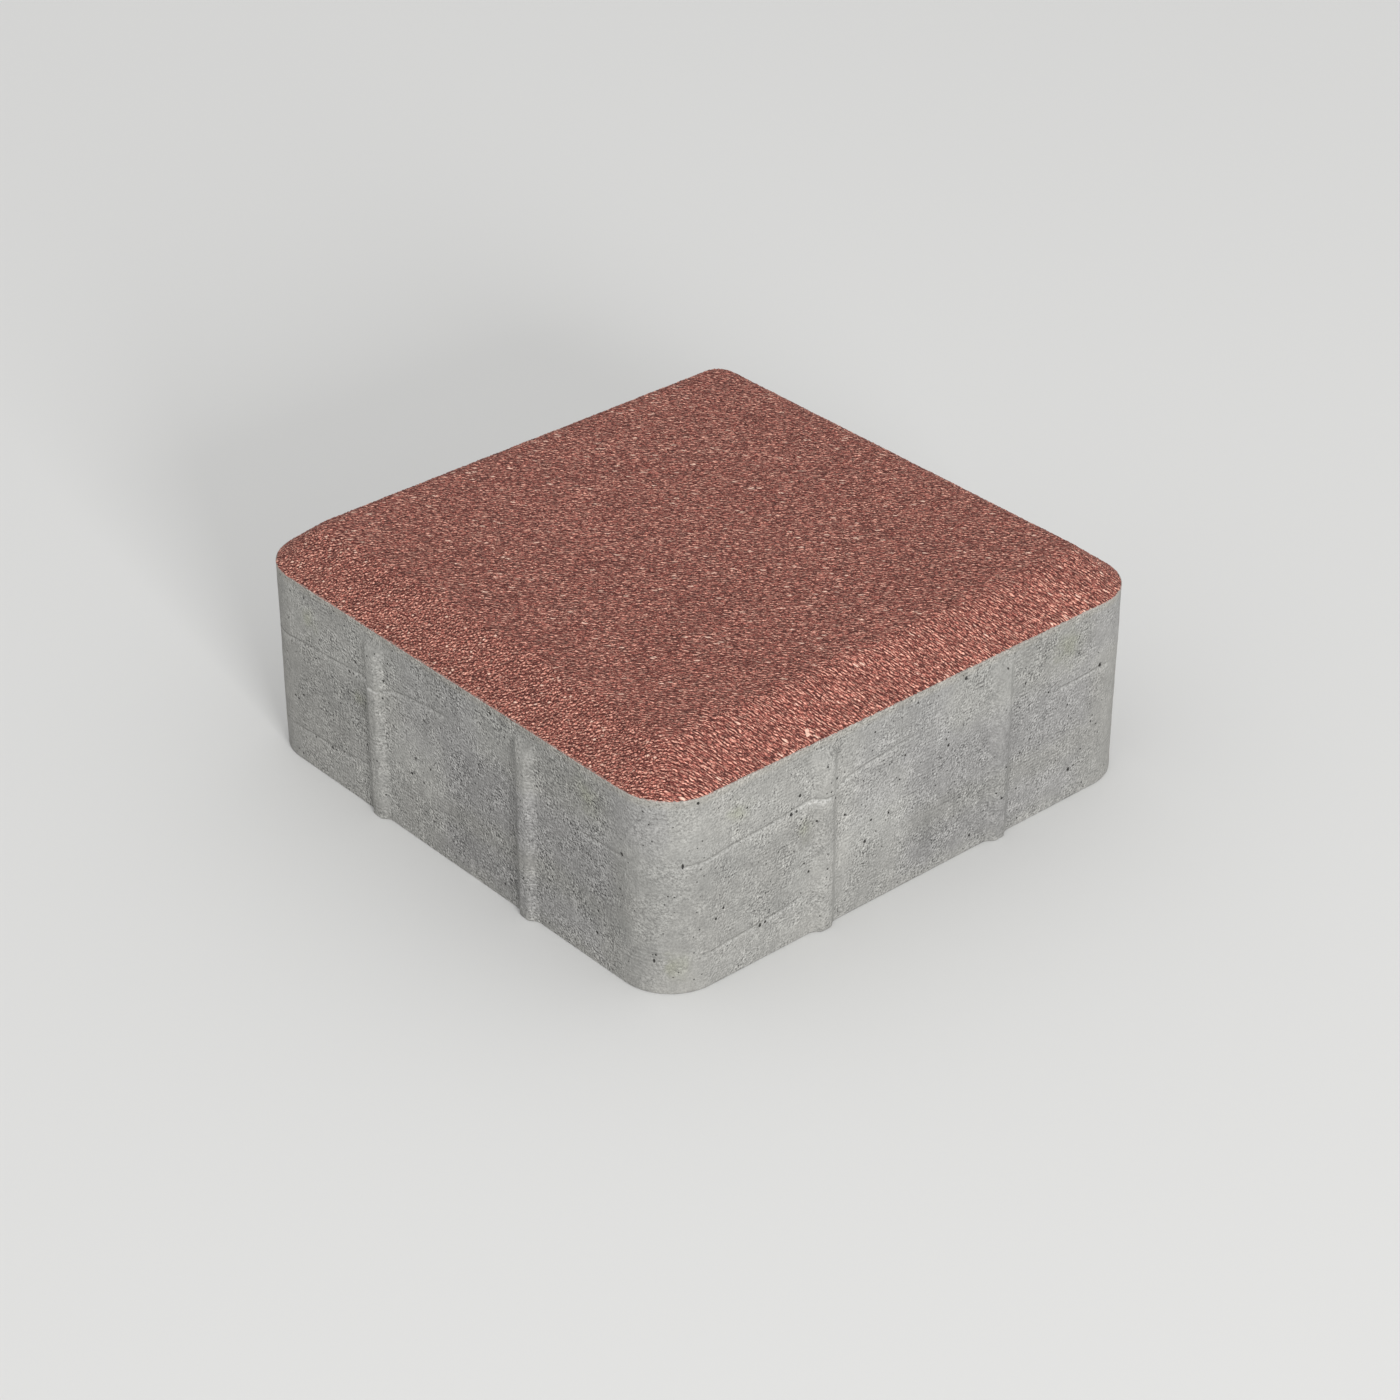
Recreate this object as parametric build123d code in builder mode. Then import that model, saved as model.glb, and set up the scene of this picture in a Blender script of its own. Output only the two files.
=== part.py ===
from build123d import *
import os

# Concrete paving stone: a grey core block with spacer nibs, and a red face layer with bevelled edges on top of it.
# Lengths are in millimetres. The origin is the middle of the underside, +Z is up.

# Plan of the stone
side = 200.0
corner_radius = 18.0

# Grey core block
base_height = 68.0

# Red face layer
face_height = 12.0
bevel_width = 15.0
top_corner_radius = 5.0
top_edge_radius = 9.0

# Spacer nibs on each side of the stone
nib_spacing = 74.0
nib_foot_width = 8.4
nib_flank_run = 2.2
nib_crest_width = nib_foot_width - 2 * nib_flank_run
nib_projection = 2.0
nib_crest_radius = 1.8
nib_root_radius = 3.8
nib_root_run = 2.0
nib_bite = 3.0
nib_top_clearance = 4.5
nib_height = base_height - nib_top_clearance
nib_lead_in = 5.5

# A square has four sides, and the stone is alike on each of them.
side_count = 4
nibs_per_side = 2

os.makedirs("parts", exist_ok=True)

# One nib, standing on the plane x = 0, which is the wall of the block. Its back reaches into the block.
with BuildPart() as nib:
    with BuildSketch() as nib_plan:
        with BuildLine():
            Polyline(
                (-nib_bite, nib_foot_width / 2 + nib_root_run),
                (0, nib_foot_width / 2 + nib_root_run),
                (0, nib_foot_width / 2),
                (nib_projection, nib_crest_width / 2),
                (nib_projection, -nib_crest_width / 2),
                (0, -nib_foot_width / 2),
                (0, -nib_foot_width / 2 - nib_root_run),
                (-nib_bite, -nib_foot_width / 2 - nib_root_run),
                close=True,
            )
        make_face()
        fillet(nib_plan.vertices().group_by(Axis.X)[1].sort_by(Axis.Y)[1:-1], nib_root_radius)
        fillet(nib_plan.vertices().group_by(Axis.X)[-1], nib_crest_radius)
    extrude(amount=nib_height)
    # The upper end curves back into the wall, so that a neighbouring stone slides down past it.
    with BuildSketch(Plane.XZ):
        with BuildLine():
            side_view = Polyline(
                (0, nib_height),
                (-nib_bite, nib_height),
                (-nib_bite, 0),
                (nib_projection, 0),
                (nib_projection, nib_height - nib_lead_in),
            )
            TangentArc(side_view @ 1, side_view @ 0, tangent=side_view % 1)
        make_face()
    extrude(amount=nib_foot_width / 2 + nib_root_run, both=True, mode=Mode.INTERSECT)

with BuildPart() as base_block:
    with BuildSketch():
        RectangleRounded(side, side, corner_radius)
    extrude(amount=base_height)
    with PolarLocations(side / 2, side_count):
        with GridLocations(0, nib_spacing, 1, nibs_per_side):
            add(nib.part)

with BuildPart() as face_layer:
    with BuildSketch(Plane.XY.offset(base_height)):
        RectangleRounded(side, side, corner_radius)
    with BuildSketch(Plane.XY.offset(base_height + face_height)):
        RectangleRounded(side - 2 * bevel_width, side - 2 * bevel_width, top_corner_radius)
    loft(ruled=True)
    fillet(face_layer.faces().sort_by(Axis.Z)[-1].edges(), top_edge_radius)

base_block.part.label = "base_block"
face_layer.part.label = "face_layer"
export_step(base_block.part, "parts/base_block.step")
export_step(face_layer.part, "parts/face_layer.step")
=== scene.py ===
import math

import bpy
import numpy as np
from mathutils import Matrix, Vector, geometry


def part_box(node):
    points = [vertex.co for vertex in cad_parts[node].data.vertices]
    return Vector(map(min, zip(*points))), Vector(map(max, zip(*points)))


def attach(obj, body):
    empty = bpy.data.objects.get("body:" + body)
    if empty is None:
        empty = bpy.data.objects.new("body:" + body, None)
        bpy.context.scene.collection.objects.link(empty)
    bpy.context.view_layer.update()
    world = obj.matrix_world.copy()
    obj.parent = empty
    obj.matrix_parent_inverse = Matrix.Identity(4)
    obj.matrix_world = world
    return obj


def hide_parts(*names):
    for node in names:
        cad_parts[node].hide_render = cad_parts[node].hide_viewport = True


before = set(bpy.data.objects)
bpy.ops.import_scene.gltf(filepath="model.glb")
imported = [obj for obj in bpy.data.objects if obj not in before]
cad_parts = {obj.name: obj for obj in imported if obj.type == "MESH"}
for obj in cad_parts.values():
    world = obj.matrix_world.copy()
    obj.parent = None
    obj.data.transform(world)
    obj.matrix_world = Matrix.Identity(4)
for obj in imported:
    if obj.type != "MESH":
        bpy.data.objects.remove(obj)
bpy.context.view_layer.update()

MM = 0.001
TINY = 1e-9

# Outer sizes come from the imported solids. The rest are the sizes of the part's source, in metres.
face_low, face_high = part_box("face_layer")
HALF_SIDE = face_high.x
BASE_HEIGHT = face_low.z
TOP_HEIGHT = face_high.z
CORNER_RADIUS = 18.0 * MM
BEVEL_WIDTH = 15.0 * MM
TOP_CORNER_RADIUS = 5.0 * MM
TOP_EDGE_RADIUS = 9.0 * MM
NIB_OFFSET = 37.0 * MM
NIB_FOOT = 8.4 * MM
NIB_CREST = 4.0 * MM
NIB_PROJECTION = 2.0 * MM
NIB_CREST_RADIUS = 1.8 * MM
NIB_ROOT_RADIUS = 3.8 * MM
NIB_HEIGHT = 63.5 * MM
NIB_LEAD_IN = 5.5 * MM

# Sides are counted from the one at +X, turning towards +Y. Two of them are seen in front.
SIDES = 4
FRONT_SIDES = (0, 3)


def lattice_noise(points, cell, seed, size=48):
    """Smooth noise from -1 to 1, with features about one cell wide."""
    table = np.random.default_rng(seed).uniform(-1, 1, (size, size, size))
    q = points / cell
    low = np.floor(q).astype(int)
    part = q - low
    part = part * part * (3 - 2 * part)
    total = np.zeros(len(points))
    for corner in np.ndindex(2, 2, 2):
        weight = np.prod(np.where(np.array(corner) == 1, part, 1 - part), axis=1)
        i, j, k = ((low + corner) % size).T
        total += weight * table[i, j, k]
    return total


def swells(points, *waves):
    """A sum of smooth noises, each given as height and cell in millimetres and seed."""
    return sum(height * MM * lattice_noise(points, cell * MM, seed) for height, cell, seed in waves)


def bell(away, reach):
    """1 in the middle, falling to 0 over about twice the reach."""
    return np.exp(-(away / reach) ** 2)


def soft_step(inside, soft):
    """From 0 outside to 1 inside a border, over about twice the soft length."""
    return 1 / (1 + np.exp(np.clip(-inside / soft, -40, 40)))


def triangulate(points, loop=(), inside_only=False):
    """Triangles between points in a plane, or only those inside a closed loop of them."""
    found = geometry.delaunay_2d_cdt([Vector(p) for p in points], list(loop), [], int(inside_only), TINY)
    return np.array(found[2])


def make_piece(name, points, faces, tables, smooth, material, node):
    """A mesh piece in place of a CAD node, with tables of numbers or vectors for its points, faces or
    face corners."""
    mesh = bpy.data.meshes.new(name)
    mesh.from_pydata(points.tolist(), [], faces)
    for domain, table in tables.items():
        for key, data in table.items():
            kind, field = ("FLOAT", "value") if data.ndim == 1 else ("FLOAT_VECTOR", "vector")
            mesh.attributes.new(key, kind, domain).data.foreach_set(field, data.ravel().astype(np.float32))
    mesh.materials.append(material)
    if smooth:
        mesh.shade_smooth()
    piece = bpy.data.objects.new(name, mesh)
    bpy.context.scene.collection.objects.link(piece)
    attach(piece, "root")
    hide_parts(node)


# The red face layer

slope = math.atan2(TOP_HEIGHT - BASE_HEIGHT, BEVEL_WIDTH)
tangent = TOP_EDGE_RADIUS * math.tan(slope / 2)
top_half = HALF_SIDE - BEVEL_WIDTH

# How the painted light and shade of the grain is drawn out into streaks, standing in for the shade
# behind the grains: their length for their width, and their turn on the top and on the bevels.
TOP_STREAK_STRETCH, TOP_STREAK_TURN = 2.9, math.radians(43)
BEVEL_STREAK_STRETCH, BEVEL_STREAK_TURN = (3.0, 1.6), (math.radians(33), math.radians(-55))
# How far apart the streaks of each bevel and of the top are taken from, so that none continues another.
STREAK_PART_GAP = 100 * MM
# Lift of the grains' crests and of the valleys between them, mean and spread, in millimetres.
CREST_LIFT, VALLEY_LIFT = (0.10, 0.065), (-0.10, 0.06)
# Wider swells of the face: height, cell and seed.
FACE_SWELLS = ((0.07, 9, 3), (0.05, 3.2, 4))
# The lift of the lower edge, and how far the red runs down over the grey, in millimetres.
EDGE_LIFT, OVERRUN = 0.06, (0.02, 0.30)
# Tone of the grains, mean and spread, how much darker the flat top is, and the tone underneath.
GRAIN_TONE, TOP_TONE_DROP, UNDER_TONE = (0.42, 0.035), 0.028, 0.4
# The share of the valleys that are deep pits, and the painted shade of the deep and of the other ones.
DEEP_PIT_SHARE, DEEP_PIT, SHALLOW_PIT = 0.5, (0.75, 1.0), (0.1, 0.6)
# Larger pale flecks seen on the face: their place and reach in millimetres, and how pale they are.
SEEN_FLECKS, FLECK_PALENESS = ((97.2, -41.9, 0.7),), 0.75


def face_profile():
    """The section of the face from its middle out to the lower edge: length along it, half width of the
    square ring, corner radius of the ring, height and tilt."""
    turn = np.linspace(0, slope, 24)
    flat = np.linspace(0, top_half - tangent, 40)
    run = np.linspace(top_half + tangent * math.cos(slope), HALF_SIDE, 30)[1:]
    half = np.concatenate([flat, (top_half - tangent + TOP_EDGE_RADIUS * np.sin(turn))[1:], run])
    height = np.concatenate([
        np.full(len(flat), TOP_HEIGHT),
        (TOP_HEIGHT - TOP_EDGE_RADIUS * (1 - np.cos(turn)))[1:],
        BASE_HEIGHT + (HALF_SIDE - run) * math.tan(slope),
    ])
    tilt = np.concatenate([np.zeros(len(flat)), turn[1:], np.full(len(run), slope)])
    length = np.concatenate([[0], np.cumsum(np.hypot(np.diff(half), np.diff(height)))])
    outside = np.clip((half - top_half) / BEVEL_WIDTH, 0, 1)
    radius = np.minimum(half, TOP_CORNER_RADIUS + (CORNER_RADIUS - TOP_CORNER_RADIUS) * outside)
    return length, half, radius, height, tilt


profile = face_profile()


def face_point(uv):
    """Maps the square -1..1 onto the smooth face. Gives places and normals."""
    u, v = uv.T
    level = np.maximum(np.abs(u), np.abs(v))
    sideways = np.abs(u) < np.abs(v)
    along = np.where(sideways, u, v) / np.maximum(level, TINY)
    sign = np.where(np.where(sideways, v, u) < 0, -1.0, 1.0)
    length, *rest = profile
    half, radius, height, tilt = (np.interp(level * length[-1], length, r) for r in rest)
    straight = half - radius
    reach = np.abs(along) * (straight + radius * math.pi / 4)
    turn = np.clip((reach - straight) / np.maximum(radius, TINY), 0, None)
    over = np.where(turn > 0, straight + radius * np.sin(turn), reach) * np.sign(along)
    out = np.where(turn > 0, straight + radius * np.cos(turn), half) * sign
    side_dir, out_dir = np.sin(turn) * np.sign(along), np.cos(turn) * sign
    x, y = np.where(sideways, over, out), np.where(sideways, out, over)
    dx, dy = np.where(sideways, side_dir, out_dir), np.where(sideways, out_dir, side_dir)
    normal = np.stack([dx * np.sin(tilt), dy * np.sin(tilt), np.cos(tilt)], 1)
    return np.stack([x, y, height], 1), normal


def on_square_edge(uv):
    """Which points lie on the edge of the square -1..1."""
    return (np.abs(uv) > 1 - 1e-6).any(1)


def grain_faces(triangles, count):
    """Turns a triangulation of the grains' middles into grains: each middle is a crest, and each triangle
    holds a valley point, so that neighbouring grains meet in a valley. The first point of each face is its
    grain's crest."""
    edges = np.concatenate([triangles[:, [0, 1]], triangles[:, [1, 2]], triangles[:, [2, 0]]])
    edges = np.sort(edges, axis=1)
    owner = np.tile(np.arange(len(triangles)), 3) + count
    order = np.lexsort((edges[:, 1], edges[:, 0]))
    edges, owner = edges[order], owner[order]
    first = np.where((edges[1:] == edges[:-1]).all(1))[0]
    a, b = edges[first].T
    c, d = owner[first], owner[first + 1]
    border = np.ones(len(edges), bool)
    border[first] = border[first + 1] = False
    return np.concatenate([
        np.stack([a, c, d], 1),
        np.stack([b, c, d], 1),
        np.stack([*edges[border].T, owner[border]], 1),
    ])


def streak_flow(points, faces, normal):
    """Coordinates at the corners of the faces for the grain drawn out into streaks of painted light and
    shade:
    along a streak, shrunk, across it, and one for each part of the face, which are the four bevels and the
    flat top."""
    along, across = np.zeros((2, SIDES + 1, 3))
    for k in range(SIDES):
        angle, turn = k * math.pi / 2, BEVEL_STREAK_TURN[k % 2]
        out = np.array([math.cos(angle), math.sin(angle), 0])
        edge = np.array([-math.sin(angle), math.cos(angle), 0])
        down = out * math.cos(slope) - np.array([0, 0, math.sin(slope)])
        along[k] = math.cos(turn) * down + math.sin(turn) * edge
        across[k] = math.cos(turn) * edge - math.sin(turn) * down
        along[k] /= BEVEL_STREAK_STRETCH[k % 2]
    cos, sin = math.cos(TOP_STREAK_TURN), math.sin(TOP_STREAK_TURN)
    along[SIDES] = cos / TOP_STREAK_STRETCH, sin / TOP_STREAK_STRETCH, 0
    across[SIDES] = -sin, cos, 0
    lean = normal[faces].mean(1)
    side = np.round(np.arctan2(lean[:, 1], lean[:, 0]) / (math.pi / 2)).astype(int) % SIDES
    part = np.where(lean[:, 2] < math.cos(slope / 2), side, SIDES)
    corners = points[faces]
    s = (corners * along[part][:, None]).sum(2)
    t = (corners * across[part][:, None]).sum(2)
    return np.stack([s, t, np.broadcast_to(part[:, None] * STREAK_PART_GAP, s.shape)], 2).reshape(-1, 3)


def build_face(material, grid=176, jitter=0.37, dropped=0.12):
    """The red face: grains over the smooth face, closed by one flat face underneath."""
    rng = np.random.default_rng(7)
    step = np.linspace(-1, 1, grid)
    uv = np.stack(np.meshgrid(step, step, indexing="ij"), -1).reshape(-1, 2)
    edge = on_square_edge(uv)
    uv = uv + np.where(edge[:, None], 0, rng.uniform(-jitter, jitter, uv.shape) * (2 / (grid - 1)))
    uv = uv[edge | (rng.random(len(uv)) > dropped)]
    edge = on_square_edge(uv)
    count = len(uv)
    triangles = triangulate(uv)
    # A valley point lies near the middle of its triangle.
    weights = rng.dirichlet((6, 6, 6), len(triangles))
    uv = np.concatenate([uv, (uv[triangles] * weights[..., None]).sum(1)])
    edge = np.concatenate([edge, np.zeros(len(triangles), bool)])
    size = len(uv)
    crest = np.arange(size) < count

    place, normal = face_point(uv)
    lift = np.where(crest, rng.normal(*CREST_LIFT, size), rng.normal(*VALLEY_LIFT, size)) * MM
    lift += swells(place, *FACE_SWELLS)
    lift[edge] = EDGE_LIFT * MM
    points = place + normal * lift[:, None]
    points[edge, 2] -= rng.uniform(*OVERRUN, edge.sum()) * MM

    faces = grain_faces(triangles, count)
    grain = faces[:, 0].copy()
    a, b, c = (uv[faces[:, i]] for i in range(3))
    turned = (b - a)[:, 0] * (c - a)[:, 1] - (b - a)[:, 1] * (c - a)[:, 0] < 0
    faces[turned] = faces[turned][:, ::-1]
    rim = np.where(edge)[0]
    rim = rim[np.argsort(np.arctan2(uv[rim, 1], uv[rim, 0]))]

    # Each grain has its own tone, a shade darker on the flat top than on the bevels, and those at a seen
    # fleck are pale sand. About half of the valleys between the grains are dark pits of painted shade.
    on_top = normal[:count, 2] > math.cos(slope / 2)
    tone = rng.normal(*GRAIN_TONE, count) - np.where(on_top, TOP_TONE_DROP, 0)
    pale = np.zeros(count)
    for x, y, reach in SEEN_FLECKS:
        pale[np.hypot(place[:count, 0] - x * MM, place[:count, 1] - y * MM) < reach * MM] = FLECK_PALENESS
    deep = rng.random(size) < DEEP_PIT_SHARE
    pit = np.where(deep, rng.uniform(*DEEP_PIT, size), rng.uniform(*SHALLOW_PIT, size))
    tables = {
        "POINT": {"pit": np.where(crest, 0, pit)},
        "FACE": {"tone": np.append(tone[grain], UNDER_TONE), "pale": np.append(pale[grain], 0)},
        "CORNER": {"flow": np.concatenate([streak_flow(points, faces, normal), np.zeros((len(rim), 3))])},
    }
    make_piece("red_face", points, faces.tolist() + [rim[::-1].tolist()], tables, False,
               material, "face_layer")


# The grey base block

straight_half = HALF_SIDE - CORNER_RADIUS
arc_length = CORNER_RADIUS * math.pi / 2
side_length = 2 * straight_half + arc_length
outline_length = SIDES * side_length

# Pores seen on the sides: place along the side from its middle, height and width in millimetres, and for
# the tall ones how often their width they are tall.
SEEN_PORES = (
    (-91.2, 45.4, 0.7, 2.4), (81.2, 45.4, 1.3), (69.4, 11.3, 1.2), (20.8, 64.8, 1.2), (-50.6, 46.8, 1.2),
    (-48.5, 47.0, 0.9), (-47.1, 51.9, 1.1), (-20.1, 23.7, 1.1), (-62.6, 12.7, 1.2), (-60.5, 13.0, 0.9),
    (-86.5, 66.2, 0.9), (-32.4, 51.7, 0.9), (14.3, 43.6, 1.0), (25.4, 5.7, 1.0), (-28.7, 37.1, 0.8),
    (-77.1, 25.8, 0.9), (-10.4, 29.8, 0.8), (-17.7, 30.4, 0.8), (58.1, 44.6, 0.8), (-81.6, 23.8, 0.8),
    (37.3, 15.2, 0.8), (-43.2, 23.2, 0.8), (-80.0, 23.2, 0.8), (46.4, 27.3, 0.7), (-37.9, 58.9, 0.7),
    (-99.8, 11.8, 0.65, 2.0), (-33.0, 45.2, 0.8), (46.8, 2.7, 0.7), (-4.1, 47.8, 0.7), (67.1, 36.4, 0.7),
)
# Radius for that width on each of the sides seen in front.
PORE_SHARE = {0: 0.5, 3: 0.42}
# Pores at random on a side that isn't seen in front, and tiny ones on every side: how many, and the ranges
# of their place along the side, height and radius, in millimetres.
HIDDEN_PORES = (30, (-80, 95), (3, 65), (0.35, 0.65))
TINY_PORES = (60, (-82, 108), (2, 66), (0.18, 0.34))
# Depth of a pore for its radius, how far apart pores keep for their size, and how far from the mesh's seam.
PORE_DEPTH, PORE_SPACING, SEAM_CLEARANCE = (0.8, 1.3), 1.7, 2 * MM
# Rings of points round a pore: radius and depth as shares of the pore's, painted shade, and how many points.
PORE_RINGS = ((0.8, 0.85, 1.0, 7), (1.15, 0.12, 0.85, 9), (1.5, 0.0, 0.0, 9))
# How far other points keep off a pore for its radius, and the rings off the upper and lower edge.
PORE_CLEARANCE, EDGE_CLEARANCE = 1.75, 0.2 * MM

# Olive stains on the sides: place along the side from its middle, height and reach, in millimetres.
SEEN_STAINS = ((-45.7, 39.2, 2.2), (-94.4, 10.3, 3.2), (-72.0, 57.0, 3.0), (66.0, 58.0, 4.0))

# Faint mould lines on the sides, as points along the side from its middle and in height, in millimetres.
MOULD_LINES = (
    ((-95.6, 44.8), (-84, 45.3), (-76, 46.2), (-63, 46.9), (-53, 47.7), (-44, 48.6), (-34, 47.2), (-28, 50.0),
     (-21, 51.3), (-10, 52.6), (3, 53.7)),
    ((-87, 11.7), (-74, 12.9), (-63, 13.4), (-53, 14.3), (-43, 15.9)),
    ((58, 43.7), (72, 44.2), (88, 45.0)),
)
# Rows of mesh points beside a mould line, as heights over it in millimetres.
LINE_ROWS = (-1.7, -1.0, -0.4, 0.05, 0.35, 0.75)
# How strong the lip of a mould line is, and where on the upper half it is stronger: by how much, the place
# along the side and the reach, in millimetres.
PLAIN_LIP, STRONG_LIPS = 0.45, ((1.0, -41, 5), (0.4, -29, 4))
LIP_HEIGHT, GROOVE_DEPTH = 0.14 * MM, 0.16 * MM

# Lighter and darker patches on the sides: from and to along the side, from and to in height, in
# millimetres, and tone.
SEEN_PATCHES = (
    (-100, -38, 44, 64, 0.5), (-34, -14, 49, 54, 0.9), (-31, -4, 21, 40, 1.2), (9, 29, 47, 60, 0.35),
    (-1, 34, 3, 45, -0.85), (1, 14, 8, 22, -0.7), (-64, -51, 15, 30, -0.6), (-47, -41, 36, 42, -0.7),
    (-64, -46, 60, 65, -0.7), (46, 57, 59, 63, -0.7), (-14, -10, 45, 50, -0.7), (43, 84, 16, 43, -0.35),
    (55, 82, 6, 13, 0.5), (-92, -44, 33, 43, -0.4), (-52, -26, 4, 31, 0.5), (34, 42, 44, 62, 0.6),
    (62, 90, 44, 51, 0.5), (43, 84, 3, 64, -0.35), (54, 76, 53, 67, -0.4), (-44, -26, 44, 66, 0.5),
    (31, 45, 3, 42, -0.4), (-78, -46, 4, 13, 0.5), (-92, -76, 16, 31, -0.5), (-66, -46, 43, 50, 0.45),
    (-7, 6, 52, 68, -0.55),
)
# Where the grey is cooler, in the same way, and how much.
SEEN_COOL = ((-3, 78, 25, 47, 1.0), (-3, 72, 4, 16, 1.0), (-24, -6, 34, 66, 0.6), (-4, 14, 46, 68, 0.8),
             (76, 96, 50, 68, 0.8))
# How ragged the borders of the patches are along the side and in height, and how soft.
PATCH_SHIFT_ALONG, PATCH_SHIFT_UP = ((2.2, 6, 41), (0.9, 2, 42)), ((2.2, 6, 43), (0.9, 2, 44))
PATCH_SOFTNESS = 1.6 * MM

# Painted shade beside each nib, on the flank turned from the light, on even and on odd sides: its place
# from the nib's middle, half width and top in millimetres, and strength.
NIB_PAINTED_SHADES = np.array(((3.4, 2.4, 47, 1.0), (-4.4, 2.6, 61, 0.4)))
# A dark three-cornered mark of painted shade beside the first nib of even sides, where its upper end
# turns from the light: the height of its lower point, its place from the nib's middle, half width for its
# height, and strength.
MARK_FOOT, MARK_PLACE, MARK_WIDTH, MARK_STRENGTH = 56 * MM, 3.8 * MM, 0.4, 2.6

# Scratches round the corners: the middle height and the reach of each band, in millimetres.
SCRATCH_BANDS = ((13, 4), (62, 2))
# Roughness of even and of odd sides, the nibs' share of it, and that of the corners and of the underside.
EVEN_ROUGH, ODD_ROUGH, NIB_ROUGH_SHARE, CORNER_ROUGH, UNDER_ROUGH = 0.88, 1.2, 0.65, 0.52, 0.8
# Swells of the sides and of the underside: height, cell and seed.
WALL_SWELLS = ((0.10, 14, 21), (0.07, 5, 22), (0.05, 2, 23))
UNDER_SWELLS = ((0.12, 4, 31),)
# Radius of the worn lower edge.
WORN_EDGE = 0.5 * MM


def side_place(s):
    """Where a length along the outline lies: which side it counts to, the place along it from its middle,
    the point of the outline and its outward normal."""
    s = np.mod(s, outline_length)
    k = np.floor(s / side_length)
    local = s - k * side_length - straight_half
    turn = np.clip((local - straight_half) / CORNER_RADIUS, 0, None)
    out = straight_half + CORNER_RADIUS * np.cos(turn)
    over = np.where(turn > 0, straight_half + CORNER_RADIUS * np.sin(turn), local)
    angle = k * math.pi / 2
    cos, sin = np.cos(angle), np.sin(angle)
    point = np.stack([out * cos - over * sin, out * sin + over * cos], 1)
    normal = np.stack([np.cos(angle + turn), np.sin(angle + turn)], 1)
    return k.astype(int), local, point, normal


def nearest_side(s):
    """The side whose middle is nearest along the outline, and the place from that middle: the second half
    of a rounded corner counts to the side that it leads to."""
    k, local, _, _ = side_place(s)
    past = local > straight_half + arc_length / 2
    return np.where(past, (k + 1) % SIDES, k), np.where(past, local - side_length, local)


def nib_section():
    """Half of a nib's rounded section: distance from its middle and how far it stands out."""
    flank = math.atan2(NIB_PROJECTION, (NIB_FOOT - NIB_CREST) / 2)
    root = NIB_ROOT_RADIUS * math.tan(flank / 2)
    crest = NIB_CREST_RADIUS * math.tan(flank / 2)
    turn = np.linspace(0, flank, 12)
    x = [0.0, *(NIB_CREST / 2 - crest + NIB_CREST_RADIUS * np.sin(turn))]
    y = [NIB_PROJECTION, *(NIB_PROJECTION - NIB_CREST_RADIUS * (1 - np.cos(turn)))]
    x += list((NIB_FOOT / 2 + root - NIB_ROOT_RADIUS * np.sin(turn))[::-1])
    y += list((NIB_ROOT_RADIUS * (1 - np.cos(turn)))[::-1])
    return np.array(x), np.array(y)


nib_x, nib_y = nib_section()
nib_reach = nib_x[-1]


def nib_height(local, z):
    """How far the nibs stand out of a side at a place along it and a height."""
    away = np.abs(np.abs(local) - NIB_OFFSET)
    bend = (NIB_LEAD_IN ** 2 + NIB_PROJECTION ** 2) / (2 * NIB_PROJECTION)
    over = np.clip(z - NIB_HEIGHT + NIB_LEAD_IN, 0, NIB_LEAD_IN)
    lead = NIB_PROJECTION - bend + np.sqrt(bend * bend - over * over)
    return np.minimum(np.interp(away, nib_x, nib_y, right=0.0), lead)


def wall_grid():
    """Points of the sides, as length along the outline and height, closer together over the nibs and at
    the edges."""
    rng = np.random.default_rng(11)
    plain, fine, arc = 1.25 * MM, 0.45 * MM, 1.2 * MM
    inner, outer = NIB_OFFSET - nib_reach, NIB_OFFSET + nib_reach
    zones = [
        (-straight_half, -outer, plain), (-outer, -inner, fine), (-inner, inner, plain),
        (inner, outer, fine), (outer, straight_half, plain), (straight_half, straight_half + arc_length, arc),
    ]
    columns = np.concatenate([np.linspace(a, b, round((b - a) / d), endpoint=False) for a, b, d in zones])
    columns = np.concatenate([columns + straight_half + k * side_length for k in range(SIDES)])
    # The rows stand closer at the worn lower edge and over the nibs' upper ends.
    foot, lead_low, lead_high = 1.4 * MM, 56 * MM, 65 * MM
    rows = np.concatenate([
        np.array([0, 0.12, 0.35, 0.75]) * MM,
        np.linspace(foot, lead_low, 45, endpoint=False),
        np.linspace(lead_low, lead_high, 15, endpoint=False),
        np.linspace(lead_high, BASE_HEIGHT, 4),
    ])
    s, z = np.meshgrid(columns, rows, indexing="ij")
    s, z = s.ravel(), z.ravel()
    _, local, _, _ = side_place(s)
    loose = (z > rows[3]) & (z < rows[-2]) & (s > 0)
    on_nib = np.abs(np.abs(local) - NIB_OFFSET) < nib_reach + plain
    s = s + np.where(loose & ~on_nib, rng.uniform(-0.32, 0.32, len(s)) * plain, 0)
    z = z + np.where(loose & (z < lead_low - MM), rng.uniform(-0.3, 0.3, len(z)) * plain, 0)
    last = np.stack([np.full(len(rows), outline_length), rows], 1)
    return np.concatenate([np.stack([s, z], 1), last])


def random_pores(rng, count, *ranges):
    """Pores of one side at random: place along it from its middle, height and radius."""
    return [tuple(rng.uniform(*limits) * MM for limits in ranges) for _ in range(count)]


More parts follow.
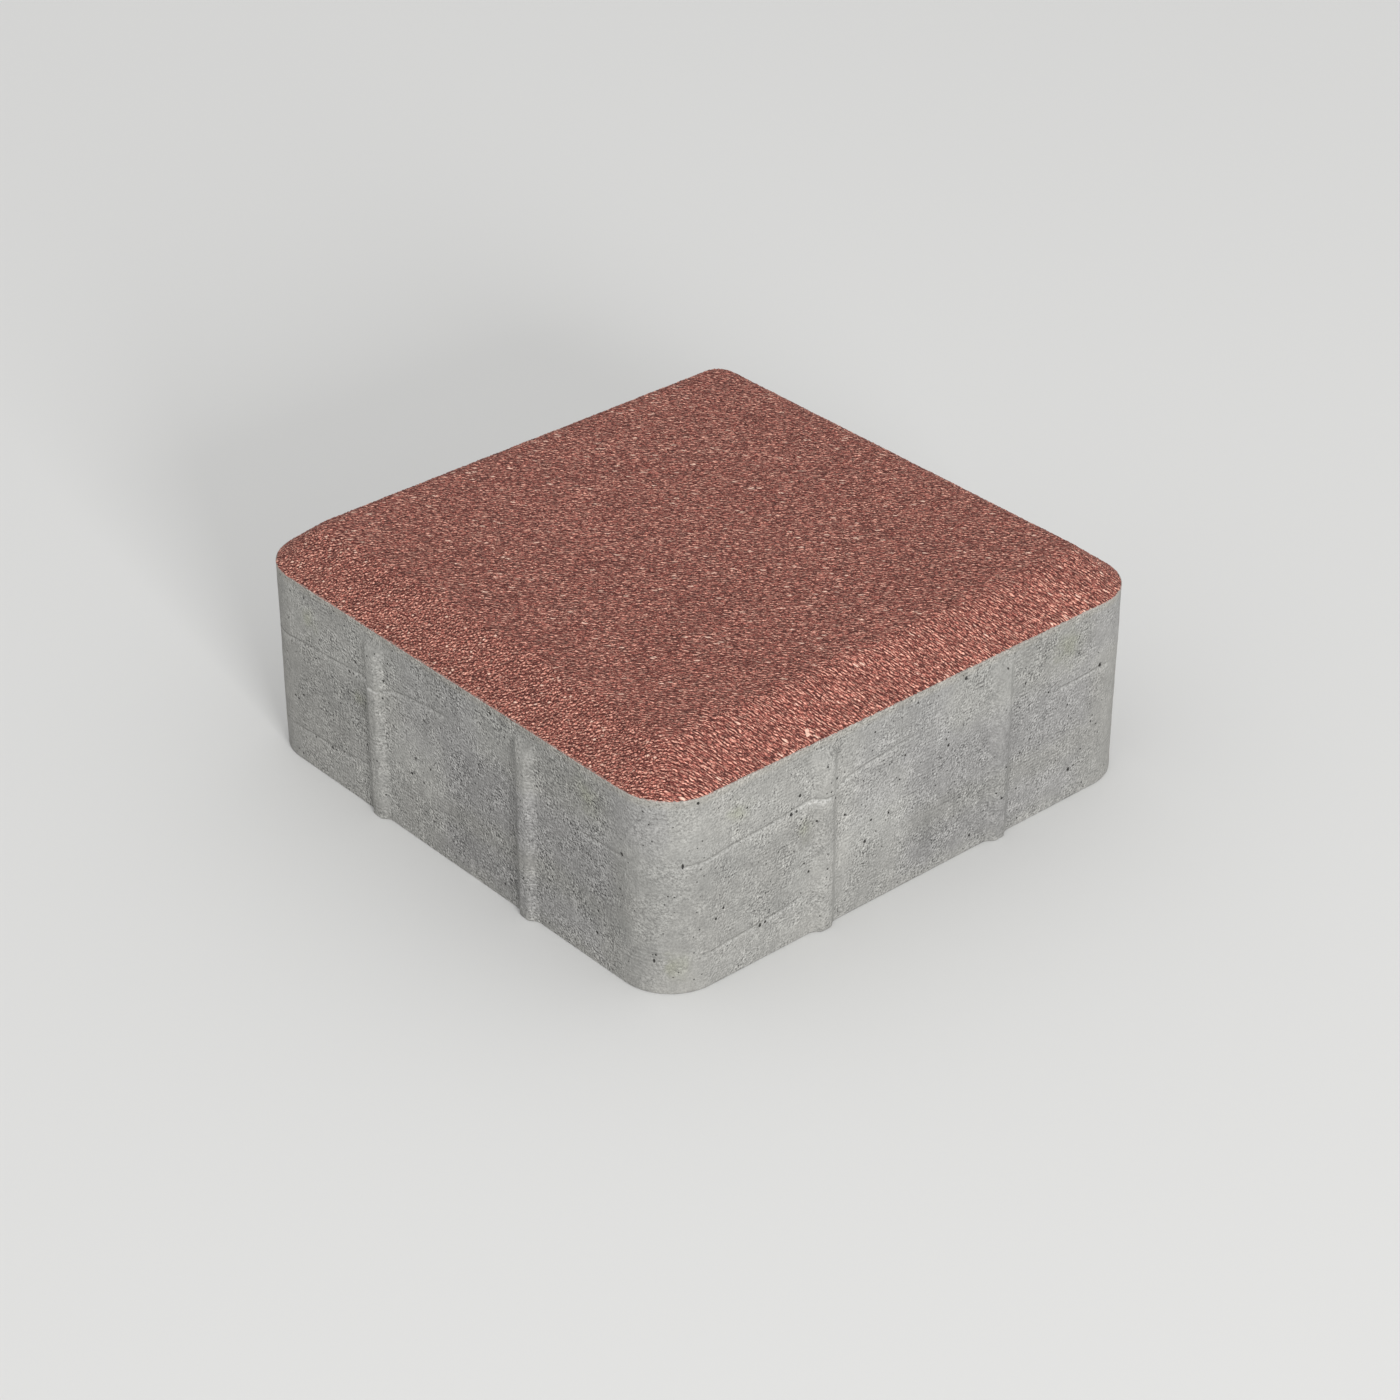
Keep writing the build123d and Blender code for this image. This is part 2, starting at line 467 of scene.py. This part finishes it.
def all_pores():
    """Every pore: length along the outline, height, radius, depth and how tall it is for its width."""
    rng = np.random.default_rng(5)
    pores = []
    for k in range(SIDES):
        middle = k * side_length + straight_half
        if k in FRONT_SIDES:
            rows = [(x * MM, z * MM, PORE_SHARE[k] * w * MM, *tall) for x, z, w, *tall in SEEN_PORES]
        else:
            rows = random_pores(rng, *HIDDEN_PORES)
        rows += random_pores(rng, *TINY_PORES)
        for x, z, r, *tall in rows:
            deep = r * rng.uniform(*PORE_DEPTH)
            pores.append((np.mod(middle + x, outline_length), z, r, deep, tall[0] if tall else 1.0))
    pores.sort(key=lambda p: -p[2])
    kept = []
    for p in pores:
        clear = all(math.hypot(p[0] - q[0], p[1] - q[1]) > PORE_SPACING * (p[2] * p[4] + q[2] * q[4])
                    for q in kept)
        if clear and SEAM_CLEARANCE < p[0] < outline_length - SEAM_CLEARANCE:
            kept.append(p)
    return kept


def pore_points(pores):
    """The middle and the rings of each pore: length along the outline, height, depth and painted shade."""
    rows = []
    for s, z, r, deep, tall in pores:
        rows.append([[s, z, deep, 1.0]])
        for share, sink, dark, count in PORE_RINGS:
            turn = np.linspace(0, 2 * math.pi, count, endpoint=False) + share
            rows.append(np.stack([s + share * r * np.cos(turn), z + share * r * tall * np.sin(turn),
                                  np.full(count, sink * deep), np.full(count, dark)], 1))
    rows = np.concatenate(rows)
    return rows[(rows[:, 1] > EDGE_CLEARANCE) & (rows[:, 1] < BASE_HEIGHT - EDGE_CLEARANCE)]


def clear_of_pores(points, pores):
    """Which points of the sides are clear of every pore."""
    clear = np.ones(len(points), bool)
    for s, z, r, _, tall in pores:
        clear &= np.hypot(points[:, 0] - s, (points[:, 1] - z) / tall) > PORE_CLEARANCE * r
    return clear


def mould_lines():
    """The mould lines of every side: the side and points along it and in height. On the sides that aren't
    seen in front, they are turned about."""
    for side in range(SIDES):
        for line in MOULD_LINES:
            xs, zs = np.array(line).T * MM
            if side not in FRONT_SIDES:
                xs, zs = -xs[::-1], BASE_HEIGHT - zs[::-1]
            yield side, xs, zs


def line_points():
    """Rows of points beside the mould lines, so that the mesh can follow them."""
    rows = []
    for side, xs, zs in mould_lines():
        x = np.arange(xs[0], xs[-1], 1.0 * MM)
        z = np.interp(x, xs, zs)
        s = np.mod(side * side_length + straight_half + x, outline_length)
        rows += [np.stack([s, z + gap * MM], 1) for gap in LINE_ROWS]
    return np.concatenate(rows)


def beside_lines(points):
    """Which points of the sides lie so close to a mould line that its own rows take their place."""
    k, local = nearest_side(points[:, 0])
    close = np.zeros(len(points), bool)
    for side, xs, zs in mould_lines():
        near = np.abs(points[:, 1] - np.interp(local, xs, zs) + 0.4 * MM) < 1.6 * MM
        close |= near & (k == side) & (local > xs[0]) & (local < xs[-1])
    return close


def line_relief(s, z):
    """The mould lines: a raised lip and a thin groove above it, each from 0 to 1."""
    k, local = nearest_side(s)
    lip, groove = np.zeros(len(s)), np.zeros(len(s))
    wide = 0.6 + 0.35 * lattice_noise(np.column_stack([local, 0 * local, 0 * local]), 5 * MM, 61)
    rich = PLAIN_LIP + sum(more * bell(local - at * MM, reach * MM) for more, at, reach in STRONG_LIPS)
    rich = np.where(z > BASE_HEIGHT / 2, np.minimum(rich, 1), PLAIN_LIP)
    for side, xs, zs in mould_lines():
        on = (k == side) & (local > xs[0] - 1 * MM) & (local < xs[-1] + 1 * MM)
        fade = np.where(on, np.clip(np.minimum(local - xs[0], xs[-1] - local) / (6 * MM), 0, 1), 0)
        gap = (z - np.interp(local, xs, zs)) / MM
        lip += fade * rich * bell(gap + 0.2 + 0.6 * wide, wide)
        groove += fade * bell(gap - 0.35, 0.25)
    return lip, groove


def from_corner(local):
    """How far a place along a side is from the middle of the nearest rounded corner."""
    away = np.abs(local - straight_half - arc_length / 2)
    return np.minimum(away, side_length - away)


def crumbliness(s, z):
    """How rough the sides are: more on every second side, and less on the nibs and round the corners."""
    k, local, _, _ = side_place(s)
    on_corner = np.clip((24 * MM - from_corner(local)) / (10 * MM), 0, 1)
    on_nib = nib_height(local, z) > 0.2 * MM
    plain = np.where(k % 2 == 0, EVEN_ROUGH, ODD_ROUGH) * np.where(on_nib, NIB_ROUGH_SHARE, 1)
    return plain * (1 - on_corner) + CORNER_ROUGH * on_corner


def corner_scratches(s, z):
    """How strongly the sides are scratched at a place: round the corners, in bands of height. From 0 to 1."""
    _, local, _, _ = side_place(s)
    on_corner = np.clip((17 * MM - from_corner(local)) / (6 * MM), 0, 1)
    bands = sum(bell(z - middle * MM, reach * MM) for middle, reach in SCRATCH_BANDS)
    return on_corner * np.clip(bands, 0, 1)


def stain_tint(s, z):
    """Olive stains on the sides, from 0 to 1, with ragged borders."""
    _, local = nearest_side(s)
    _, _, point, _ = side_place(s)
    ragged = 1 + 0.5 * lattice_noise(np.column_stack([point, z]), 2.5 * MM, 71)
    return sum(bell(np.hypot(local - x * MM, z - up * MM) * ragged, reach * MM)
               for x, up, reach in SEEN_STAINS)


def nib_shade(s, z):
    """Painted shade beside each nib, on the flank turned from the light, and in the mark beside the upper
    end of the first nib on even sides."""
    k, local, point, _ = side_place(s)
    place = np.column_stack([point, z])
    from_nib = local - np.where(local < 0, -NIB_OFFSET, NIB_OFFSET)
    middle, half, top, strength = NIB_PAINTED_SHADES[k % 2].T
    inside = half * MM - np.abs(from_nib - middle * MM) + swells(place, (0.5, 5, 52))
    below = top * MM + swells(place, (0.8, 8, 51)) - z
    # Painted shade in a band beside the nib, and in the mark at its upper end.
    painted_band = strength * soft_step(inside, 0.5 * MM) * soft_step(below, 0.4 * MM)
    mark = np.minimum(NIB_HEIGHT + 0.5 * MM - z, MARK_WIDTH * (z - MARK_FOOT) - np.abs(from_nib - MARK_PLACE))
    first = (k % 2 == 0) & (local < 0)
    return painted_band + np.where(first, MARK_STRENGTH, 0) * soft_step(mark, 0.35 * MM)


def patch_sum(s, z, patches):
    """The sum of the patches of the sides at a place, with ragged soft borders."""
    k, local, point, _ = side_place(s)
    place = np.column_stack([point, z])
    x = local + swells(place, *PATCH_SHIFT_ALONG)
    y = z + swells(place, *PATCH_SHIFT_UP)
    front = np.isin(k, FRONT_SIDES)
    # On the sides that aren't seen in front, the patches are turned about.
    x, y = np.where(front, x, -x), np.where(front, y, BASE_HEIGHT - y)
    x = np.where(x > straight_half + arc_length / 2, x - side_length, x)
    total = np.zeros(len(s))
    for x0, x1, z0, z1, tone in patches:
        inside = np.minimum(np.minimum(x - x0 * MM, x1 * MM - x), np.minimum(y - z0 * MM, z1 * MM - y))
        total += tone * soft_step(inside, PATCH_SOFTNESS)
    return total


def underside_points():
    """Points inside the outline of the underside, as it came off the board it was pressed on."""
    rng = np.random.default_rng(13)
    spots = np.stack(np.meshgrid(*[np.arange(-96, 97, 3.0) * MM] * 2), -1).reshape(-1, 2)
    spots = spots + rng.uniform(-0.9, 0.9, spots.shape) * MM
    away = np.maximum(np.abs(spots) - straight_half, 0)
    depth = np.minimum(CORNER_RADIUS - np.hypot(*away.T), HALF_SIDE - np.abs(spots).max(1))
    spots = spots[depth > 2.5 * MM]
    points = np.column_stack([spots, np.zeros(len(spots))])
    points[:, 2] = np.abs(swells(points, *UNDER_SWELLS))
    return points


def build_base(material):
    """The grey block: the sides with their nibs and marks, the underside, and one flat face on top."""
    grid, lines, pores = wall_grid(), line_points(), all_pores()
    edge = (grid[:, 0] < TINY) | (grid[:, 0] > outline_length - TINY)
    edge |= (grid[:, 1] < TINY) | (grid[:, 1] > BASE_HEIGHT - TINY)
    grid = grid[edge | (clear_of_pores(grid, pores) & ~beside_lines(grid))]
    lines = lines[clear_of_pores(lines, pores)]
    extra = pore_points(pores)
    flat = np.concatenate([grid, lines, extra[:, :2]])
    plain = np.zeros(len(grid) + len(lines))
    sunk = np.concatenate([plain, extra[:, 2]])
    dark = np.concatenate([plain, extra[:, 3]])
    triangles = triangulate(flat)

    # The last column closes the ring: it is the first column again.
    s, z = flat.T
    first = np.where(s < TINY)[0]
    last = np.where(s > outline_length - TINY)[0]
    first, last = first[np.argsort(z[first])], last[np.argsort(z[last])]
    same = np.arange(len(flat))
    same[last] = first
    triangles = same[triangles]

    _, local, outline, normal = side_place(s)
    lip, groove = line_relief(s, z)
    inside = np.clip(np.minimum(z, BASE_HEIGHT - z) / (1.5 * MM), 0, 1)
    relief = swells(np.column_stack([outline, z]), *WALL_SWELLS) + LIP_HEIGHT * lip - GROOVE_DEPTH * groove
    foot = np.clip(WORN_EDGE - z, 0, WORN_EDGE)
    round_off = WORN_EDGE - np.sqrt(WORN_EDGE * WORN_EDGE - foot * foot)
    out = nib_height(local, z) + inside * relief - sunk - round_off
    points = np.column_stack([outline + normal * out[:, None], z])

    open_ring = s < outline_length - TINY
    low = np.where((z < TINY) & open_ring)[0]
    low = low[np.argsort(s[low])]
    high = np.where((z > BASE_HEIGHT - TINY) & open_ring)[0]
    high = high[np.argsort(s[high])]
    under_points = underside_points()
    count, added = len(low), len(under_points)
    loop = [(i, (i + 1) % count) for i in range(count)]
    under = triangulate(np.concatenate([points[low, :2], under_points[:, :2]]), loop, True)
    under_faces = np.concatenate([low, len(points) + np.arange(added)])[under]

    values = {
        "pore": dark,
        "lip": lip * inside,
        "groove": groove * inside,
        "patch": patch_sum(s, z, SEEN_PATCHES),
        "cool": patch_sum(s, z, SEEN_COOL),
        "shade": nib_shade(s, z),
        "scratch": corner_scratches(s, z),
        "stain": stain_tint(s, z),
        "rough": crumbliness(s, z),
    }
    below = {key: UNDER_ROUGH if key == "rough" else 0 for key in values}
    values = {key: np.append(data, np.full(added, below[key])) for key, data in values.items()}
    faces = triangles.tolist() + under_faces[:, ::-1].tolist() + [high.tolist()]
    make_piece("grey_block", np.concatenate([points, under_points]), faces, {"POINT": values}, True,
               material, "base_block")


# Materials

RED_TONES = (
    (0.0, (0.085, 0.015, 0.011)), (0.42, (0.415, 0.133, 0.103)), (0.8, (0.625, 0.252, 0.187)),
    (1.0, (0.87, 0.48, 0.37)),
)
# Painted shade in the pits and crevices between the grains.
RED_PIT_SHADE = (0.055, 0.013, 0.01, 1)
PALE_SAND = (0.87, 0.59, 0.47, 1)
GREY_TONES = ((0.3, (0.2635, 0.261, 0.247)), (0.7, (0.2685, 0.263, 0.2465)))
COOL_GREY = (0.2665, 0.262, 0.255, 1)
WARM_GREY = (0.284, 0.272, 0.244, 1)
RIM_GREY = (0.35, 0.335, 0.305, 1)
OLIVE = (0.258, 0.260, 0.212, 1)
LIP_HIGHLIGHT_GREY = (0.50, 0.495, 0.475, 1)
GROOVE_SHADE_GREY = (0.09, 0.088, 0.08, 1)
PORE_BLACK = (0.025, 0.024, 0.022, 1)

# Noise scales are features per metre: the ridges and the grit of the red, and the grain of the grey.
RIDGE_SCALE, GRIT_SCALE, GRAIN_SCALE = 1700, 1150, 1300
# A texture less itself a little further on is painted light on one side and painted shade on the
# other. How much further, in metres.
RIDGE_SHIFT, GRIT_SHIFT = (0, 0.3 * MM, 0), (0, 0.27 * MM, 0)
CRUMB_SHIFT = (0.24 * MM, -0.2 * MM, 0.24 * MM)
# The middle share of a noise's values, which most of the looks are spread over.
MID_NOISE = (0.3, 0.7)


def new_material(name):
    material = bpy.data.materials.new(name)
    material.use_nodes = True
    return material, material.node_tree, material.node_tree.nodes["Principled BSDF"]


def add(tree, kind, **settings):
    node = tree.nodes.new(kind)
    for key, value in settings.items():
        setattr(node, key, value)
    return node


def feed(tree, socket, value):
    """Links a socket to another, or sets it to a number or colour."""
    if isinstance(value, bpy.types.NodeSocket):
        tree.links.new(value, socket)
    else:
        socket.default_value = value


def noise(tree, coords, scale, detail=2.0, rough=0.5):
    node = add(tree, "ShaderNodeTexNoise")
    for key, value in (("Vector", coords), ("Scale", scale), ("Detail", detail), ("Roughness", rough)):
        feed(tree, node.inputs[key], value)
    return node.outputs["Fac"]


def shifted(tree, coords, offset):
    node = add(tree, "ShaderNodeVectorMath", operation="ADD")
    feed(tree, node.inputs[0], coords)
    feed(tree, node.inputs[1], offset)
    return node.outputs[0]


def cells(tree, coords, scale, feature):
    node = add(tree, "ShaderNodeTexVoronoi", feature=feature)
    feed(tree, node.inputs["Vector"], coords)
    feed(tree, node.inputs["Scale"], scale)
    return node.outputs


def channels(tree, colour):
    """The three channels of a colour, which are three chances where the colour is a cell's own."""
    node = add(tree, "ShaderNodeSeparateColor")
    tree.links.new(colour, node.inputs[0])
    return node.outputs


def wave(tree, coords, direction, scale, distortion, detail_scale):
    node = add(tree, "ShaderNodeTexWave", wave_type="BANDS", bands_direction=direction)
    for key, value in (("Vector", coords), ("Scale", scale), ("Distortion", distortion), ("Detail", 3.0),
                       ("Detail Scale", detail_scale), ("Detail Roughness", 0.6)):
        feed(tree, node.inputs[key], value)
    return node.outputs["Fac"]


def ramp(tree, value, stops):
    node = add(tree, "ShaderNodeValToRGB")
    points = node.color_ramp.elements
    while len(points) < len(stops):
        points.new(0.5)
    for point, (at, colour) in zip(points, stops):
        point.position = at
        point.color = (*colour, 1)
    tree.links.new(value, node.inputs["Fac"])
    return node.outputs["Color"]


def mix(tree, share, a, b):
    node = add(tree, "ShaderNodeMix", data_type="RGBA")
    for socket, value in ((node.inputs["Factor"], share), (node.inputs[6], a), (node.inputs[7], b)):
        feed(tree, socket, value)
    return node.outputs[2]


def math_node(tree, operation, *values):
    node = add(tree, "ShaderNodeMath", operation=operation)
    for socket, value in zip(node.inputs, values):
        feed(tree, socket, value)
    return node.outputs[0]


def product(tree, a, b):
    return math_node(tree, "MULTIPLY", a, b)


def total(tree, *values):
    result = values[0]
    for value in values[1:]:
        result = math_node(tree, "ADD", result, value)
    return result


def scaled(tree, colour, factor):
    node = add(tree, "ShaderNodeVectorMath", operation="SCALE")
    feed(tree, node.inputs[0], colour)
    feed(tree, node.inputs["Scale"], factor)
    return node.outputs[0]


def spread(tree, value, low, high, to_low, to_high):
    """Takes a value from one range to another, and stops at its ends."""
    node = add(tree, "ShaderNodeMapRange")
    for key, number in (("Value", value), ("From Min", low), ("From Max", high), ("To Min", to_low),
                        ("To Max", to_high)):
        feed(tree, node.inputs[key], number)
    return node.outputs["Result"]


def attribute(tree, name):
    return add(tree, "ShaderNodeAttribute", attribute_name=name).outputs["Fac"]


def bump(tree, height, strength, distance, normal=None):
    node = add(tree, "ShaderNodeBump")
    for key, value in (("Strength", strength), ("Distance", distance), ("Height", height)):
        feed(tree, node.inputs[key], value)
    if normal is not None:
        tree.links.new(normal, node.inputs["Normal"])
    return node.outputs["Normal"]


def red_concrete():
    material, tree, shader = new_material("red_concrete")
    coords = add(tree, "ShaderNodeTexCoord").outputs["Object"]
    flow = add(tree, "ShaderNodeAttribute", attribute_name="flow").outputs["Vector"]
    fine = noise(tree, coords, 2000, 3)
    cloud = noise(tree, coords, 55, 3)
    # Streaks of painted light and shade standing in for the shade behind the grains, and a ripple along them.
    streak = noise(tree, flow, 1600, 2, 0.6)
    ripple = wave(tree, flow, "Y", 300, 10, 2.5)
    # Short ridges with a painted lit side and a painted shaded side.
    ridge_light_shade = math_node(tree, "SUBTRACT", noise(tree, flow, RIDGE_SCALE, 1),
                      noise(tree, shifted(tree, flow, RIDGE_SHIFT), RIDGE_SCALE, 1))
    # Bits of grit with a painted lit side and a painted shaded side, painted shade in the crevices between
    # them, and a few that are pale flecks.
    grit = cells(tree, flow, GRIT_SCALE, "F1")
    ahead = cells(tree, shifted(tree, flow, GRIT_SHIFT), GRIT_SCALE, "F1")["Distance"]
    facet_light_shade = spread(tree, math_node(tree, "SUBTRACT", ahead, grit["Distance"]), -0.4, 0.4, -0.3, 0.3)
    _, fleck_chance, crevice_chance = channels(tree, grit["Color"])
    crevice_shade = spread(tree, cells(tree, flow, GRIT_SCALE, "DISTANCE_TO_EDGE")["Distance"], 0.03, 0.2, 1, 0)
    crevice_shade = product(tree, crevice_shade, spread(tree, crevice_chance, 0, 1, 0.3, 1))
    fleck = product(tree, spread(tree, fleck_chance, 0.955, 0.97, 0, 0.85),
                    spread(tree, grit["Distance"], 0.28, 0.46, 1, 0))
    fleck = math_node(tree, "MAXIMUM", fleck, attribute(tree, "pale"))
    pit = spread(tree, attribute(tree, "pit"), 0.52, 0.9, 0, 0.9)

    tone = total(tree, attribute(tree, "tone"), facet_light_shade, spread(tree, streak, 0.33, 0.67, -0.4, 0.4),
                 spread(tree, ridge_light_shade, -0.3, 0.3, -0.85, 0.85), spread(tree, ripple, 0, 1, -0.22, 0.22),
                 spread(tree, fine, *MID_NOISE, -0.4, 0.4), spread(tree, cloud, *MID_NOISE, 0.03, -0.03))
    colour = ramp(tree, tone, RED_TONES)
    # Painted shade in the pits and in the crevices between the grit.
    colour = mix(tree, math_node(tree, "MAXIMUM", pit, crevice_shade), colour, RED_PIT_SHADE)
    colour = mix(tree, fleck, colour, PALE_SAND)
    tree.links.new(colour, shader.inputs["Base Color"])
    tree.links.new(spread(tree, fine, *MID_NOISE, 0.75, 0.95), shader.inputs["Roughness"])
    shader.inputs["Specular IOR Level"].default_value = 0.35
    dome = spread(tree, grit["Distance"], 0, 0.8, 1, 0)
    rough = bump(tree, streak, 0.8, 0.6 * MM, bump(tree, dome, 0.7, 0.4 * MM))
    tree.links.new(bump(tree, fine, 0.3, 0.2 * MM, rough), shader.inputs["Normal"])
    return material


def grey_concrete():
    material, tree, shader = new_material("grey_concrete")
    coords = add(tree, "ShaderNodeTexCoord").outputs["Object"]
    cloud = noise(tree, coords, 38, 4, 0.6)
    patch = noise(tree, coords, 240, 3, 0.6)
    grain = noise(tree, coords, GRAIN_SCALE, 3, 0.65)
    # Crumbs with a painted lit side and a painted shaded side, in clusters, with smoother concrete between
    # them.
    moved = shifted(tree, coords, CRUMB_SHIFT)
    crumb_light_shade = math_node(tree, "SUBTRACT", grain, noise(tree, moved, GRAIN_SCALE, 3, 0.65))
    cluster = spread(tree, noise(tree, coords, 120, 2), 0.36, 0.64, 1.1, 3.7)
    texture = total(tree, product(tree, crumb_light_shade, cluster), spread(tree, grain, *MID_NOISE, -0.14, 0.14))
    # Black dots, finer than the pores.
    dots = cells(tree, coords, 380, "F1")
    dot_chance, _, _ = channels(tree, dots["Color"])
    dot = product(tree, spread(tree, dots["Distance"], 0.07, 0.13, 1, 0),
                  spread(tree, dot_chance, 0.35, 0.6, 0, 1))
    # Level streaks left by the mould, here and there, and broken scratches round the corners.
    here = product(tree, spread(tree, noise(tree, coords, 70, 2), 0.45, 0.65, 0, 0.8),
                   spread(tree, attribute(tree, "rough"), 0.7, 0.82, 0, 1))
    streak = product(tree, here, spread(tree, wave(tree, coords, "Z", 260, 6, 0.3), 0, 0.45, -0.2, 0.06))
    broken = product(tree, attribute(tree, "scratch"),
                     spread(tree, noise(tree, coords, 160, 2), 0.4, 0.6, 0, 1))
    scratch = product(tree, broken, spread(tree, wave(tree, coords, "Z", 220, 3, 0.25), 0, 1, -0.16, 0.12))
    level = total(tree, spread(tree, cloud, *MID_NOISE, 0.92, 1.04),
                  spread(tree, patch, *MID_NOISE, -0.1, 0.1),
                  product(tree, texture, attribute(tree, "rough")), streak, scratch,
                  product(tree, attribute(tree, "patch"), 0.15),
                  # Painted shade beside the nibs.
                  product(tree, attribute(tree, "shade"), -0.08))

    hue = mix(tree, attribute(tree, "cool"), ramp(tree, cloud, GREY_TONES), COOL_GREY)
    # The grey is warmer in a narrow strip under the red, and paler right under it.
    height = add(tree, "ShaderNodeSeparateXYZ")
    tree.links.new(coords, height.inputs[0])
    strip = spread(tree, height.outputs["Z"], BASE_HEIGHT - 3.2 * MM, BASE_HEIGHT - 1.2 * MM, 0, 0.75)
    rim = spread(tree, height.outputs["Z"], BASE_HEIGHT - 0.9 * MM, BASE_HEIGHT - 0.4 * MM, 0, 0.7)
    hue = mix(tree, rim, mix(tree, strip, hue, WARM_GREY), RIM_GREY)
    hue = mix(tree, product(tree, attribute(tree, "stain"), 0.8), hue, OLIVE)
    colour = scaled(tree, hue, level)
    # Painted highlight along the raised lip of the mould lines, on top of its real relief.
    lip = product(tree, attribute(tree, "lip"), spread(tree, noise(tree, coords, 1100, 2), 0.44, 0.56, 0, 1))
    colour = mix(tree, lip, colour, LIP_HIGHLIGHT_GREY)
    # Painted shade in the thin groove above the lip, on top of its real relief.
    groove = product(tree, attribute(tree, "groove"), spread(tree, patch, 0.35, 0.65, 0.3, 0.85))
    colour = mix(tree, groove, colour, GROOVE_SHADE_GREY)
    # Painted shade in the pores, on top of their sinking, with the finer black dots.
    dark = math_node(tree, "MAXIMUM", dot, spread(tree, attribute(tree, "pore"), 0.7, 0.9, 0, 1))
    colour = mix(tree, product(tree, dark, 0.97), colour, PORE_BLACK)
    tree.links.new(colour, shader.inputs["Base Color"])
    tree.links.new(spread(tree, grain, *MID_NOISE, 0.72, 0.92), shader.inputs["Roughness"])
    shader.inputs["Specular IOR Level"].default_value = 0.3
    rough = bump(tree, patch, 0.3, 0.5 * MM)
    rough = bump(tree, total(tree, streak, scratch), 0.5, 0.8 * MM, rough)
    tree.links.new(bump(tree, grain, 0.6, 0.35 * MM, rough), shader.inputs["Normal"])
    return material


build_face(red_concrete())
build_base(grey_concrete())

# Stage, light and camera

FLOOR_REACH, FLOOR_GREY, FLOOR_ROUGHNESS = 6.0, (0.72, 0.72, 0.71, 1), 0.9
WORLD_STRENGTH = 0.80
AIM_HEIGHT = 0.04
KEY_DISTANCE, KEY_SIZE, KEY_POWER = 3.0, 0.8, 67
KEY_PLACE = (0.905 * KEY_DISTANCE, -0.34 * KEY_DISTANCE, 0.26 * KEY_DISTANCE + AIM_HEIGHT)

floor_mesh = bpy.data.meshes.new("floor")
floor_corners = [(-1, -1), (1, -1), (1, 1), (-1, 1)]
floor_mesh.from_pydata([(x * FLOOR_REACH, y * FLOOR_REACH, 0) for x, y in floor_corners], [], [(0, 1, 2, 3)])
floor_material, _, floor_shader = new_material("floor")
floor_shader.inputs["Base Color"].default_value = FLOOR_GREY
floor_shader.inputs["Roughness"].default_value = FLOOR_ROUGHNESS
floor_mesh.materials.append(floor_material)
floor = bpy.data.objects.new("floor", floor_mesh)
bpy.context.scene.collection.objects.link(floor)

world = bpy.data.worlds.new("studio")
world.use_nodes = True
world.node_tree.nodes["Background"].inputs["Color"].default_value = (1, 1, 1, 1)
world.node_tree.nodes["Background"].inputs["Strength"].default_value = WORLD_STRENGTH
bpy.context.scene.world = world

key_data = bpy.data.lights.new("key", "AREA")
key_data.size = KEY_SIZE
key_data.energy = KEY_POWER
key = bpy.data.objects.new("key", key_data)
key.location = KEY_PLACE
key.rotation_mode = "QUATERNION"
key.rotation_quaternion = (Vector((0, 0, AIM_HEIGHT)) - Vector(KEY_PLACE)).to_track_quat("-Z", "Y")
bpy.context.scene.collection.objects.link(key)

# The camera is fitted to the stone's outline. Its distances are shares of the stone's side.
SENSOR_WIDTH = 36.0
FOCAL_PIXELS, FRAME_PIXELS = 3484.0, 1400
VIEW_AZIMUTH = math.radians(48.718)
VIEW_ELEVATION = math.radians(31.86)
VIEW_DISTANCE = 5.69 * 2 * HALF_SIDE
AIM_RIGHT = 0.00585 * 2 * HALF_SIDE
AIM_UP = 0.0804 * 2 * HALF_SIDE

back = Vector((
    math.sin(VIEW_AZIMUTH) * math.cos(VIEW_ELEVATION),
    -math.cos(VIEW_AZIMUTH) * math.cos(VIEW_ELEVATION),
    math.sin(VIEW_ELEVATION),
))
right = Vector((math.cos(VIEW_AZIMUTH), math.sin(VIEW_AZIMUTH), 0))
up = back.cross(right)
camera_data = bpy.data.cameras.new("camera")
camera_data.sensor_width = SENSOR_WIDTH
camera_data.lens = FOCAL_PIXELS / FRAME_PIXELS * SENSOR_WIDTH
camera_data.clip_start, camera_data.clip_end = 0.01, 50
camera = bpy.data.objects.new("camera", camera_data)
bpy.context.scene.collection.objects.link(camera)
camera_place = Matrix.Translation(back * VIEW_DISTANCE + right * AIM_RIGHT + up * AIM_UP)
camera.matrix_world = camera_place @ Matrix((right, up, back)).transposed().to_4x4()
bpy.context.scene.camera = camera
bpy.context.scene.view_settings.view_transform = "Standard"
